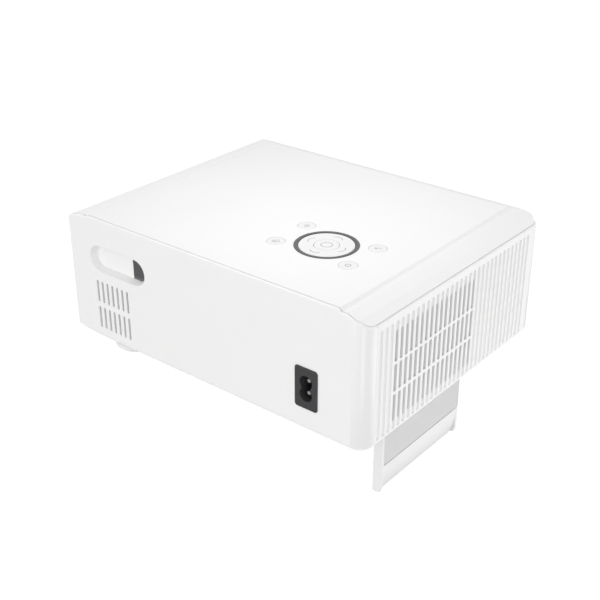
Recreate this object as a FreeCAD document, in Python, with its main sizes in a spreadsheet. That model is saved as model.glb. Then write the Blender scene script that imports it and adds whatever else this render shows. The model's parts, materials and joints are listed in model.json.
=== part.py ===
"""Home projector: parametric model, every piece a separate solid.

Frame: +Z up, the lens looks along -Y, the ribbed vent side is at -X.  The origin is the middle of the
underside, where the tripod socket opens.  All sizes are in millimetres.
"""
import FreeCAD, Part
import math
import os
import re

import Sketcher

Vector = FreeCAD.Vector
Rotation = FreeCAD.Rotation

os.makedirs("parts", exist_ok=True)
doc = FreeCAD.newDocument("projector")

# ---------------------------------------------------------------- driving dimensions
DIMENSIONS = {
    "width": 255.0,             # ribbed side to port side
    "depth": 206.0,             # front to rear
    "height": 91.5,             # underside to the flat top
    "wall": 2.4,
    "round_corner": 10.0,       # vertical corners on the ribbed side
    "tight_corner": 2.0,        # vertical corners on the port side
    "lid_inset": 1.8,           # the cover sits this far inside the outer faces
    "seam": 0.15,               # open gap of a visible seam
    "lid_seam": 0.5,            # gap between the cover and the rear shell
    "rim_round": 0.9,           # rounding of the rear shell's top edge
    "lid_skin": 2.2,
    "rim_low": 82.0,            # top of the ribbed side
    "rim_port": 86.5,           # top of the port side
    "groove_rib": 110.0,        # top groove, ribbed side
    "groove_port": 109.4,       # top groove, port side
    "groove_deep": 1.1,
    "groove_half": 1.4,
    "strip_drop": 1.8,          # the strip over the ribs starts this far under the plate
    "step_round": 1.4,
    "crest_round": 8.0,
    "base_edge": 1.6,           # visible edge of the base pan
    "base_floor": 2.6,
    "insert_half": 92.2,        # half length of the ribbed insert
    "insert_thick": 2.6,
    "rib_pitch": 5.417,
    "flute_radius": 1.5,
    "flute_deep": 1.35,
    "flute_low": 3.6,           # the flutes run from here
    "flute_drop": 4.3,          # to this far under the rim
    "vent_first": -14.7,        # vent column nearest the front
    "vent_width": 2.7,
    "nav_x": -48.4,
    "nav_y": 37.9,
    "key_step_x": 28.9,
    "key_step_y": 15.8,
    "key_radius": 6.1,
    "key_gap": 0.15,
    "key_bottom": 82.6,
    "stem_radius": 2.5,
    "key_under": 86.8,          # underside of the key caps
    "edge_ease": 0.25,          # small chamfer on caps and plates
    "board_top": 81.4,
    "board_thick": 1.6,
    "dome_high": 0.45,
    "ring_outer": 21.4,
    "ring_inner": 18.6,
    "ring_seat": 1.2,           # depth of the ring's seat in the cover
    "pad_radius": 18.3,
    "pad_flange": 18.9,
    "pad_low": 88.2,
    "pad_room": 19.3,           # radius of the lid's opening for the pad
    "lug_near": 10.0,           # the pad's lugs, from its middle
    "lug_far": 12.6,
    "pivot_z": 87.0,            # both tilt axes of the pad
    "pivot_radius": 0.5,
    "carrier_outer": 16.0,
    "carrier_inner": 13.0,
    "ok_radius": 8.2,
    "pad_gap": 0.25,
    "axis_y": 28.5,             # light path and fan, from the middle
    "axis_z": 39.0,
    "lens_x": 70.0,
    "port_z": 32.0,             # middle of the sockets on the port side
    "filter_out": -120.9,       # outer plane of the filter cassette
    "filter_thick": 6.4,
    "filter_top": 12.4,
    "filter_tall": 63.8,
    "filter_rear": 72.7,
    "filter_long": 90.8,
    "filter_room": 0.6,         # clearance round the cassette
    "cheek": 2.2,               # thickness of the cassette's end plates
    "lip_z": -30.2,             # bright lip over the grip
    "grip_curve": 50.0,         # radius of the curve below the lip
    "inlet_x": -84.2,
    "inlet_z": 29.3,
    "recess_x": 80.3,
    "recess_z": 62.0,
    "recess_long": 53.8,
    "recess_tall": 19.4,
    "recess_deep": 5.0,
    "recess_skin": 1.6,
    "window_long": 15.8,
    "pin_apart": 4.3,           # half the spacing of the mains pins
    "speaker_x": 87.2,
    "speaker_z": 26.0,
    "slot_half": 0.95,          # half width of a speaker slot
    "engine_half": 50.0,        # half length of the optical engine across the light path
    "engine_wall": 2.4,
    "engine_low": 6.0,
    "engine_high": 72.0,
    "mirror_long": 76.0,
    "foot_x": 86.2,
    "foot_y": 84.4,
    "foot_radius": 15.5,
    "foot_drop": 8.0,
    "stud_radius": 4.0,
    "running": 0.05,            # radial clearance of a turning or sliding fit
    "grip_radius": 33.0,        # focus ring
    "tube_radius": 30.0,
    "barrel_radius": 27.0,
    "tripod_radius": 3.175,
    "insert_long": 5.6,
}

sheet = doc.addObject("Spreadsheet::Sheet", "dims")
for line, (alias, value) in enumerate(DIMENSIONS.items(), start=1):
    sheet.set(f"A{line}", alias)
    sheet.set(f"B{line}", str(value))
    sheet.setAlias(f"B{line}", alias)
doc.recompute()


# ---------------------------------------------------------------- helpers
def linked(expression):
    """Turn 'width / 2' into 'dims.width / 2'."""
    return re.sub(r"[a-z][a-z_]*", lambda word: "dims." + word.group(), str(expression))


def number(expression):
    return float(sheet.evalExpression(linked(expression)))


def bind(item, **sizes):
    for key, expression in sizes.items():
        item.setExpression(key, linked(expression))


def put(item, x, y, z, turn=None):
    """Place an item, its corner or centre bound to the sheet."""
    item.Placement = FreeCAD.Placement(Vector(), turn or Rotation())
    for axis, expression in zip("xyz", (x, y, z)):
        item.setExpression("Placement.Base." + axis, linked(expression))
    return item


def add(kind, name):
    return doc.addObject(kind, name)


def block(x, y, z):
    """A box between the two values of each pair."""
    item = add("Part::Box", "block")
    bind(item, Length=f"({x[1]}) - ({x[0]})", Width=f"({y[1]}) - ({y[0]})", Height=f"({z[1]}) - ({z[0]})")
    return put(item, x[0], y[0], z[0])


ALONG = {"x": Rotation(Vector(0, 1, 0), 90), "y": Rotation(Vector(1, 0, 0), -90), "z": Rotation()}


def place_on_axis(item, axis, centre, start):
    first, second = centre
    where = {"x": (start, first, second), "y": (first, start, second), "z": (first, second, start)}[axis]
    return put(item, *where, turn=ALONG[axis])


def rod(axis, centre, radius, span):
    """A cylinder along an axis; centre holds the other two coordinates in X, Y, Z order."""
    item = add("Part::Cylinder", "rod")
    bind(item, Radius=radius, Height=f"({span[1]}) - ({span[0]})")
    return place_on_axis(item, axis, centre, span[0])


def taper(axis, centre, radii, span):
    item = add("Part::Cone", "taper")
    bind(item, Radius1=radii[0], Radius2=radii[1], Height=f"({span[1]}) - ({span[0]})")
    return place_on_axis(item, axis, centre, span[0])


def joined(*items):
    fusion = add("Part::MultiFuse", "joined")
    fusion.Shapes = list(items)
    return fusion


def minus(base, *tools):
    cut = add("Part::Cut", "cut")
    cut.Base = base
    cut.Tool = tools[0] if len(tools) == 1 else joined(*tools)
    return cut


def common(*items):
    shared = add("Part::MultiCommon", "shared")
    shared.Shapes = list(items)
    return shared


def pipe(axis, centre, outer, inner, span):
    return minus(rod(axis, centre, outer, span), rod(axis, centre, inner, span))


def group(*items):
    """Separate solids kept together as one node."""
    compound = add("Part::Compound", "group")
    compound.Links = list(items)
    return compound


def oblong(axis, centre, long_half, radius, span, upright=False):
    """A prism with round ends, along an axis, lying or standing in the plane across it."""
    first, second = centre
    if upright:
        ends = [(first, f"({second}) + {side} * ({long_half} - ({radius}))") for side in (-1, 1)]
    else:
        ends = [(f"({first}) + {side} * ({long_half} - ({radius}))", second) for side in (-1, 1)]
    rods = [rod(axis, end, radius, span) for end in ends]
    across = (f"({first}) - ({radius})", f"({first}) + ({radius})")
    along = (f"({second}) - ({radius})", f"({second}) + ({radius})")
    if upright:
        along = (f"({second}) - (({long_half}) - ({radius}))", f"({second}) + (({long_half}) - ({radius}))")
    else:
        across = (f"({first}) - (({long_half}) - ({radius}))", f"({first}) + (({long_half}) - ({radius}))")
    middle = {"y": (across, span, along), "x": (span, across, along), "z": (across, along, span)}[axis]
    return joined(block(*middle), *rods)


def origin_plane(body, role):
    return next(item for item in body.Origin.OriginFeatures if item.Role == role)


def sketched(name, role, corners, offset="0"):
    """A body with a closed outline whose corners are bound to the sheet."""
    body = add("PartDesign::Body", name)
    sketch = body.newObject("Sketcher::SketchObject", name + "_outline")
    sketch.AttachmentSupport = [(origin_plane(body, role), "")]
    sketch.MapMode = "FlatFace"
    sketch.setExpression("AttachmentOffset.Base.z", linked(offset))
    points = [Vector(number(u), number(v), 0) for u, v in corners]
    count = len(points)
    for here in range(count):
        sketch.addGeometry(Part.LineSegment(points[here], points[(here + 1) % count]))
    for here in range(count):
        sketch.addConstraint(Sketcher.Constraint("Coincident", here, 2, (here + 1) % count, 1))
    for here, corner in enumerate(corners):
        for kind, axis_line, part in (("DistanceX", -2, 0), ("DistanceY", -1, 1)):
            value = points[here][part]
            if abs(value) < 1e-9:
                sketch.addConstraint(Sketcher.Constraint("PointOnObject", here, 1, axis_line))
            else:
                at = sketch.addConstraint(Sketcher.Constraint(kind, -1, 1, here, 1, value))
                sketch.setExpression(f"Constraints[{at}]", linked(corner[part]))
    return body, sketch


def prism(name, role, corners, span):
    """An outline padded between two values along the plane's normal axis."""
    start = f"-({span[1]})" if role == "XZ_Plane" else span[0]
    body, sketch = sketched(name, role, corners, start)
    pad = body.newObject("PartDesign::Pad", name + "_pad")
    pad.Profile = sketch
    bind(pad, Length=f"({span[1]}) - ({span[0]})")
    doc.recompute()
    return body


def rounded(body, radius, wanted):
    """Fillet the edges of a body whose middle point passes the test."""
    tip = body.Tip
    names = [f"Edge{at}" for at, edge in enumerate(tip.Shape.Edges, start=1) if wanted(edge)]
    fillet = body.newObject("PartDesign::Fillet", body.Name + "_fillet")
    fillet.Base = (tip, names)
    bind(fillet, Radius=radius)
    doc.recompute()
    return body


def eased(base, radius, wanted):
    """Round the edges of a boolean's result that pass the test."""
    doc.recompute()
    round_off = add("Part::Fillet", "eased")
    round_off.Base = base
    size = number(radius)
    round_off.Edges = [(at, size, size) for at, edge in enumerate(base.Shape.Edges, start=1) if wanted(edge)]
    return round_off


def turned(name, corners, x, y, z, axis="z"):
    """A body turned from (radius, height) corners about a line through the given point."""
    body, sketch = sketched(name, "XZ_Plane", corners)
    spin = body.newObject("PartDesign::Revolution", name + "_turn")
    spin.Profile = sketch
    spin.ReferenceAxis = (sketch, ["V_Axis"])
    spin.Angle = 360
    return put(body, x, y, z, turn=ALONG[axis])


pieces = {}


def piece(label, item):
    item.Label = label
    pieces[label] = item
    return item


def middle(edge):
    return edge.valueAt((edge.FirstParameter + edge.LastParameter) / 2)


def is_upright(edge):
    first, last = (vertex.Point for vertex in (edge.Vertexes[0], edge.Vertexes[-1]))
    return abs(first.z - last.z) > 1 and abs(first.x - last.x) < 0.01 and abs(first.y - last.y) < 0.01


# ---------------------------------------------------------------- outer volumes
def slab(name, inset, low, high):
    """The plan outline, moved inwards, between two heights."""
    right = f"width / 2 - ({inset})"
    rear = f"depth / 2 - ({inset})"
    corners = [(f"-({right})", f"-({rear})"), (right, f"-({rear})"), (right, rear), (f"-({right})", rear)]
    body = prism(name, "XY_Plane", corners, (low, high))
    rounded(body, f"round_corner - ({inset})", lambda edge: is_upright(edge) and middle(edge).x < 0)
    if number(f"tight_corner - ({inset})") > 0.1:
        rounded(body, f"tight_corner - ({inset})", lambda edge: is_upright(edge) and middle(edge).x > 0)
    return body


def crown(name, drop, rear, front):
    """Everything under the top surface: flat plate, groove, step and the strips falling to each side."""
    port = "groove_port"
    top = f"height - ({drop})"
    groove = f"height - groove_deep - ({drop})"
    strip = f"height - strip_drop - ({drop})"
    corners = [
        ("-width / 2 - 1", "-20"), ("width / 2 + 1", "-20"),
        ("width / 2 + 1", f"rim_port - 0.3 - ({drop})"), ("width / 2 - 4", f"rim_port + 2 - ({drop})"),
        (f"{port} + 2 * groove_half", f"height - 0.5 - ({drop})"), (f"{port} + groove_half / 2", groove),
        (f"{port} - groove_half / 2", groove), (f"{port} - 2 * groove_half", top),
        ("3 - groove_rib", top), ("1.4 - groove_rib", strip), ("-2.4 - groove_rib", strip),
        ("6.1 - width / 2", f"rim_low + 4.4 - ({drop})"), ("-width / 2 - 1", f"rim_low - 1.1 - ({drop})"),
    ]
    body = prism(name, "XZ_Plane", corners, (front, rear))

    def along_y(*places):
        """Picks the long top edges at these distances across the cover."""
        def pick(edge):
            spot = middle(edge)
            return spot.z > 60 and edge.Length > 50 and any(abs(spot.x - number(x)) < 0.05 for x in places)
        return pick

    rounded(body, "step_round", along_y("3 - groove_rib", "1.4 - groove_rib"))
    return rounded(body, "crest_round", along_y("6.1 - width / 2", "width / 2 - 4"))


def front_fall(name, drop):
    """Everything behind the rounded front edge of the top."""
    body = prism(name, "YZ_Plane", [
        ("depth / 2 + 5", "-20"), ("depth / 2 + 5", f"height + 5 - ({drop})"),
        ("12 - depth / 2", f"height + 5 - ({drop})"), ("12 - depth / 2", f"height - ({drop})"),
        ("4 - depth / 2", f"rim_low + 7.2 - ({drop})"), ("-depth / 2 - 1", f"rim_low + 1.6 - ({drop})"),
        ("-depth / 2 - 1", "-20")], ("-width", "width"))
    return body


full_crown = crown("full_crown", "0", "depth", "-depth")
full_front = front_fall("full_front", "0")
ring_body = minus(slab("outer", "0", "base_edge + seam / 2", "height + 1"),
                  slab("inner", "wall", "0", "height + 2"))
underside = prism("underside", "XZ_Plane", [
    ("-width", "0"), ("width / 2 - 24", "0"), ("width / 2 - 9", "0.9"), ("width / 2 + 1", "3.7"),
    ("width / 2 + 1", "height + 5"), ("-width", "height + 5")], ("-depth", "depth"))
ring = common(ring_body, full_crown, full_front, underside)
low_ring = common(minus(slab("outer_low", "0", "base_edge + seam / 2", "rim_low"),
                        slab("inner_low", "wall", "0", "rim_low + 1")), full_crown, underside)


# ---------------------------------------------------------------- rear shell
def slot_grid(axis, xs, zs, half_tall, half_wide, span):
    return [oblong(axis, (x, z), half_tall, half_wide, span, upright=True) for x in xs for z in zs]


rear_span = ("depth / 2 - wall - 1", "depth / 2 + 1")
SLOT_PITCH = 4.92
speaker_columns = [f"speaker_x + {SLOT_PITCH * step:.2f}" for step in range(-3, 4)]
SPEAKER_ROWS = ("speaker_z + 10.2", "speaker_z - 10.3")
speaker_slots = slot_grid("y", speaker_columns, SPEAKER_ROWS, "8.4", "slot_half", rear_span)
recess_hole = oblong("y", ("recess_x", "recess_z"), "recess_long / 2", "recess_tall / 2", rear_span)
inlet_hole = block(("inlet_x - 7.2", "inlet_x + 7.2"), rear_span, ("inlet_z - 12.9", "inlet_z + 12.9"))
rear_zone = block(("-width", "width"), ("insert_half + seam", "depth"), ("-1", "height + 5"))
lid_room = slab("lid_room", "lid_inset - lid_seam", "rim_low", "height + 2")


def inside_outline(point):
    """How far a point lies inside the plan outline."""
    half_x, half_y, corner = number("width / 2"), number("depth / 2"), number("round_corner")
    across, along = half_x - corner + point.x, point.y - (half_y - corner)
    if across < 0 < along:
        return corner - (across ** 2 + along ** 2) ** 0.5
    return min(half_x - abs(point.x), half_y - abs(point.y))


def on_outer_rim(edge):
    """True for the edges where the rear shell's outer face meets its top."""
    spots = [vertex.Point for vertex in edge.Vertexes] + [middle(edge)]
    on_outline = all(inside_outline(spot) < 0.05 and spot.z > number("rim_low") - 1 for spot in spots)
    return on_outline and not is_upright(edge) and middle(edge).y > number("insert_half + 0.2")


piece("rear_shell", eased(minus(common(ring, rear_zone), lid_room, recess_hole, inlet_hole, *speaker_slots),
                          "rim_round", on_outer_rim))

# ---------------------------------------------------------------- front panel
front_zone = block(("-width", "width"), ("-depth", "-insert_half - seam"), ("-1", "height + 5"))
lens_hole = rod("y", ("lens_x", "axis_z"), "35.6", ("-depth", "-depth / 2 + wall + 1"))
piece("front_panel", minus(common(low_ring, front_zone), lens_hole))

# ---------------------------------------------------------------- port-side panel
HDMI = {"places": ("-48", "-26"), "half_long": "7.3", "half_tall": "2.6"}
USB = {"places": ("-2", "18"), "half_long": "6.6", "half_tall": "2.9"}
JACKS = ("38", "52")
JACK_OUTER = "4"
PANEL_GAP = "0.3"
port_zone = block(("width / 2 - wall - 5", "width"), ("-insert_half", "insert_half"), ("-1", "height"))
through_port = ("width / 2 - wall - 1", "width")


def port_window(place, kind):
    """The opening in the port panel round one rectangular socket."""
    half_long = f"{kind['half_long']} + {PANEL_GAP}"
    half_tall = f"{kind['half_tall']} + {PANEL_GAP}"
    return block(through_port, (f"{place} - ({half_long})", f"{place} + {half_long}"),
                 (f"port_z - ({half_tall})", f"port_z + {half_tall}"))


port_cuts = [port_window(place, kind) for kind in (HDMI, USB) for place in kind["places"]]
port_cuts += [rod("x", (place, "port_z"), f"{JACK_OUTER} + {PANEL_GAP}", through_port) for place in JACKS]
piece("port_panel", minus(common(low_ring, port_zone), *port_cuts))

# ---------------------------------------------------------------- ribbed side insert
insert_zone = block(("-width", "-width / 2 + 12"), ("-insert_half", "insert_half"), ("-1", "height"))
insert_body = common(low_ring, insert_zone)
FLUTES = range(-13, 20)
VENT_COLUMNS = range(17)
VENT_ROWS = ((7.2, 27.2), (29.4, 48.4), (50.2, 70.6))
flute_line = "flute_deep - flute_radius - width / 2"


def flute(step):
    """A round-bottomed groove with a rounded lower end."""
    place = f"vent_first + {step} * rib_pitch"
    end = add("Part::Sphere", "flute_end")
    bind(end, Radius="flute_radius")
    put(end, flute_line, place, "flute_low")
    return joined(rod("z", (flute_line, place), "flute_radius", ("flute_low", "rim_low - flute_drop")), end)


def vent(step, low, high):
    """One slot through the insert."""
    place = f"vent_first + {step} * rib_pitch"
    along = (f"{place} - vent_width / 2", f"{place} + vent_width / 2")
    return block(("-width", "-width / 2 + 10"), along, (low, high))


flutes = [flute(step) for step in FLUTES]
vents = [vent(step, low, high) for step in VENT_COLUMNS for low, high in VENT_ROWS]
cross_bar_y = ("vent_first - rib_pitch / 2", f"vent_first + {VENT_COLUMNS[-1] + 0.5} * rib_pitch")
cross_bars = [common(insert_body, block(("-width", "-width / 2 + 10"), cross_bar_y, (below[1], above[0])))
              for below, above in zip(VENT_ROWS[:-1], VENT_ROWS[1:])]
piece("side_grille", joined(minus(insert_body, *flutes, *vents), *cross_bars))

# ---------------------------------------------------------------- top cover
lid_outer = slab("lid_outer", "lid_inset", "rim_low + seam", "height + 1")
lid_solid = common(lid_outer, full_crown, full_front)
lid_hollow = common(slab("lid_hollow", "lid_inset + lid_skin", "0", "height"),
                    crown("low_crown", "lid_skin", "depth", "-depth"), front_fall("low_front", "lid_skin"))
KEY_SIGNS = {"power_key": (-1, 1), "source_key": (1, 1), "back_key": (-1, -1), "menu_key": (1, -1)}


def key_spot(label):
    across, along = KEY_SIGNS[label]
    return f"nav_x + {across} * key_step_x", f"nav_y + {along} * key_step_y"


CORNER_SIGNS = [(-1, -1), (-1, 1), (1, -1), (1, 1)]
corner_posts = [(f"{across} * 112", f"{along} * 88") for across, along in CORNER_SIGNS]
board_posts = [(f"nav_x + {across} * 39.5", f"nav_y + {along} * 24") for across, along in CORNER_SIGNS]
lid_posts = [common(rod("z", spot, "4", ("base_floor", "height")), full_crown) for spot in corner_posts]
lid_posts += [rod("z", spot, "2.5", ("board_top", "height - lid_skin / 2")) for spot in board_posts]
post_holes = [rod("z", spot, "1.3", ("0", "base_floor + 11")) for spot in corner_posts]
key_holes = [rod("z", key_spot(label), "key_radius + key_gap", ("80", "height + 1")) for label in KEY_SIGNS]
ring_seat = rod("z", ("nav_x", "nav_y"), "ring_outer", ("height - ring_seat", "height + 1"))
pad_hole = rod("z", ("nav_x", "nav_y"), "pad_room", ("80", "height + 1"))
pivot_collar = rod("z", ("nav_x", "nav_y"), "pad_room + 1.6", ("pivot_z - 1.1", "height - lid_skin / 2"))
pivot_bore = rod("x", ("nav_y", "pivot_z"), "pivot_radius + running",
                 ("nav_x - pad_room - 2", "nav_x + pad_room + 2"))
lid_shell = minus(lid_solid, lid_hollow)
piece("top_cover", minus(joined(lid_shell, pivot_collar, *lid_posts),
                         ring_seat, pad_hole, pivot_bore, *key_holes, *post_holes))

# ---------------------------------------------------------------- base pan
filter_inner = "filter_out + filter_thick"
filter_front_end = "filter_rear - filter_long"
SMALL_FEET = [("-86", "70"), ("-86", "-78"), ("86", "-78")]
ADJUSTER = ("0", "-82")
base_plate = joined(slab("base_edge_slab", "0.5", "0", "base_edge"),
                    slab("base_floor_slab", "wall + 0.3", "0", "base_floor"))
base_bosses = [rod("z", ("0", "0"), "7.5", ("0", "insert_long")), rod("z", ADJUSTER, "7", ("0", "24"))]
board_feet = [(f"-67 + {across} * 33", f"-64 + {along} * 30") for across, along in CORNER_SIGNS]
base_bosses += [rod("z", spot, "3", ("0", "8")) for spot in board_feet]
base_cuts = [
    block(("filter_out - filter_room", f"{filter_inner} + filter_room"),
          (f"{filter_front_end} - 0.5", "filter_rear + 0.5"), ("-1", "10")),
    rod("z", ("0", "0"), "5", ("-1", "insert_long + 1")),
    rod("z", ADJUSTER, "stud_radius + running", ("-1", "22.5")),
]
base_cuts += [rod("z", spot, "1.6", ("-1", "5")) for spot in corner_posts]
base_cuts += [rod("z", spot, "3.2", ("-1", "1.4")) for spot in corner_posts]
base_cuts += [oblong("z", (f"{8 * step}", "-48"), "14", "1.5", ("-1", "5"), upright=True)
              for step in range(-2, 4)]
piece("base_pan", minus(common(joined(base_plate, *base_bosses), underside), *base_cuts))

# ---------------------------------------------------------------- feet and fasteners
piece("small_feet", group(*[taper("z", spot, ("8.2", "9"), ("-foot_drop", "0")) for spot in SMALL_FEET]))
piece("round_foot", turned("round_foot_body", [
    ("0", "-foot_drop"), ("foot_radius - 2", "-foot_drop"), ("foot_radius", "1.6 - foot_drop"),
    ("foot_radius", "-3.4"), ("foot_radius - 1.5", "-2.4"), ("foot_radius - 5", "-2.4"),
    ("foot_radius - 5", "0"), ("0", "0")], "foot_x", "foot_y", "0"))
piece("foot_stud", rod("z", ADJUSTER, "stud_radius", ("2.4 - foot_drop", "20")))
piece("foot_disc", minus(turned("foot_disc_body", [
    ("0", "0.5 - foot_drop"), ("10", "0.5 - foot_drop"), ("12", "2 - foot_drop"),
    ("12", "-2.6"), ("11", "-1.6"), ("0", "-1.6")], *ADJUSTER, "0"),
    rod("z", ADJUSTER, "stud_radius + running", ("2.4 - foot_drop", "0"))))
piece("tripod_insert", pipe("z", ("0", "0"), "5", "tripod_radius", ("0", "insert_long")))


def base_screw(spot):
    """A cross-head screw, driven up from below."""
    x, y = spot
    head_low, head_high, tip = "0.2", "1.4", "11"
    head = joined(rod("z", spot, "2.9", (head_low, head_high)), rod("z", spot, "1.25", (head_high, tip)))
    arms = [block((f"{x} - {a}", f"{x} + {a}"), (f"{y} - {b}", f"{y} + {b}"), ("0", "1"))
            for a, b in (("1.7", "0.35"), ("0.35", "1.7"))]
    return minus(head, *arms)


piece("base_screws", group(*[base_screw(spot) for spot in corner_posts]))


# ---------------------------------------------------------------- keys
def key_cap(label, spot, radius):
    cap = turned(label + "_body", [
        ("0", "key_bottom"), ("stem_radius", "key_bottom"), ("stem_radius", "key_under"),
        (f"{radius} - 1", "key_under"),
        (f"{radius} + 1", "key_under + 0.8"), (f"{radius} + 1", "key_under + 2"), (radius, "key_under + 2"),
        (radius, "height - edge_ease"), (f"{radius} - edge_ease", "height"),
        ("0", "height")], spot[0], spot[1], "0")
    return piece(label, cap)


for key_label in KEY_SIGNS:
    key_cap(key_label, key_spot(key_label), "key_radius")
piece("ok_key", turned("ok_key_body", [
    ("0", "key_bottom"), ("stem_radius", "key_bottom"), ("stem_radius", "key_under"),
    ("ok_radius", "key_under"), ("ok_radius", "height - edge_ease"), ("ok_radius - edge_ease", "height"),
    ("0", "height")], "nav_x", "nav_y", "0"))
pad_inner = "ok_radius + pad_gap"
pad_plate = turned("nav_pad_body", [
    (pad_inner, "pad_low"), ("pad_flange", "pad_low"), ("pad_flange", "pad_low + 0.8"),
    ("pad_radius", "pad_low + 0.8"), ("pad_radius", "height - edge_ease"),
    ("pad_radius - edge_ease", "height"), (f"{pad_inner} + edge_ease", "height"),
    (pad_inner, "height - edge_ease")], "nav_x", "nav_y", "0")
PAD_SIDES = (("nav_y - lug_far", "nav_y - lug_near"), ("nav_y + lug_near", "nav_y + lug_far"))
pad_lugs = [block(("nav_x - 1.4", "nav_x + 1.4"), side, ("pivot_z - 0.9", "pad_low + 0.4"))
            for side in PAD_SIDES]
pad_bores = [rod("y", ("nav_x", "pivot_z"), "pivot_radius + running", side) for side in PAD_SIDES]
piece("nav_pad", minus(joined(pad_plate, *pad_lugs), *pad_bores))
carrier_ring = pipe("z", ("nav_x", "nav_y"), "carrier_outer", "carrier_inner",
                    ("pivot_z - 0.7", "pivot_z + 0.7"))
SIDE_PINS = (("nav_x - pad_room - 1.2", "nav_x - carrier_outer + 1"),
             ("nav_x + carrier_outer - 1", "nav_x + pad_room + 1.2"))
END_PINS = (("nav_y - carrier_inner - 1", "nav_y - lug_near - 0.3"),
            ("nav_y + lug_near + 0.3", "nav_y + carrier_inner + 1"))
side_pins = [rod("x", ("nav_y", "pivot_z"), "pivot_radius", span) for span in SIDE_PINS]
end_pins = [rod("y", ("nav_x", "pivot_z"), "pivot_radius", span) for span in END_PINS]
piece("nav_carrier", joined(carrier_ring, *side_pins, *end_pins))
piece("nav_ring", turned("nav_ring_body", [
    ("ring_inner", "height - ring_seat"), ("ring_outer", "height - ring_seat"), ("ring_outer", "height"),
    ("ring_outer - 0.4", "height + edge_ease"), ("ring_inner + 0.3", "height + edge_ease"),
    ("ring_inner", "height")],
    "nav_x", "nav_y", "0"))
piece("key_board", block(("nav_x - 42", "nav_x + 42"), ("nav_y - 26.5", "nav_y + 26.5"),
                         ("board_top - board_thick", "board_top")))
dome_span = ("board_top", "board_top + dome_high")
domes = [rod("z", spot, "3", dome_span) for spot in [*map(key_spot, KEY_SIGNS), ("nav_x", "nav_y")]]
PUSHER_OUT = 12.9
for across, along in ((1, 0), (-1, 0), (0, 1), (0, -1)):
    spot = (f"nav_x + {PUSHER_OUT * across}", f"nav_y + {PUSHER_OUT * along}")
    domes.append(rod("z", spot, "1.8", ("board_top", "pivot_z - 1.3")))
piece("key_domes", group(*domes))

# ---------------------------------------------------------------- filter cassette
filter_base = "filter_top - filter_tall"
cheek_foot = f"{filter_base} + 1.4"
between_cheeks = (f"{filter_front_end} + cheek", "filter_rear - cheek")
cassette = block(("filter_out", filter_inner), between_cheeks, (filter_base, "filter_top"))


def cheek_plate(name, span):
    """An end plate with a slanted foot."""
    return prism(name, "XZ_Plane", [
        ("filter_out", "filter_top"), ("filter_out", f"{cheek_foot} + 5.4"),
        ("filter_out + 1.2", f"{cheek_foot} + 0.6"), ("filter_out + 2.2", cheek_foot),
        (filter_inner, cheek_foot), (filter_inner, "filter_top")], span)


cheeks = [cheek_plate("rear_cheek", ("filter_rear - cheek", "filter_rear")),
          cheek_plate("front_cheek", (filter_front_end, f"{filter_front_end} + cheek"))]
mesh_window = block(("filter_out - 1", f"{filter_inner} + 1"), (f"{filter_front_end} + 5", "filter_rear - 5"),
                    ("lip_z + 4.6", "filter_top - 4"))
grip = minus(block(("filter_out - 1", "filter_out + 5"), between_cheeks, (f"{filter_base} - 1", "lip_z - 1")),
             rod("y", ("filter_out + grip_curve", "lip_z - 1"), "grip_curve",
                 (filter_front_end, "filter_rear")))
grip_hollow = block(("filter_out + 3.2", f"{filter_inner} + 1"),
                    (f"{filter_front_end} + 6", "filter_rear - 6"), ("lip_z - 14", "lip_z - 3"))
lip_groove = block(("filter_out - 1", "filter_out + 0.8"), between_cheeks, ("lip_z", "lip_z + 0.5"))


def mesh_sheet(start):
    """The space of the cloth, let into the outer face, from a given depth."""
    return block((f"filter_out + {start}", "filter_out + 2.2"),
                 (f"{filter_front_end} + 0.6", "filter_rear - cheek"), ("lip_z + 0.5", "filter_top - 1.2"))


piece("filter_frame", minus(joined(cassette, *cheeks), mesh_window, grip, grip_hollow, lip_groove,
                            mesh_sheet("-1")))
piece("filter_mesh", mesh_sheet("0.3"))
guide_x = ("filter_out - filter_room", f"{filter_inner} + 2")
guide_rear = ("filter_rear + filter_room", "filter_rear + 3")
guide_front = (f"{filter_front_end} - 3", f"{filter_front_end} - filter_room")
GUIDE_TOP = ("74", "76")
rails = [block(guide_x, side, ("base_floor", GUIDE_TOP[1])) for side in (guide_rear, guide_front)]
rails.append(block(guide_x, (guide_front[0], guide_rear[1]), GUIDE_TOP))
piece("filter_guide", joined(*rails))


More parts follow.
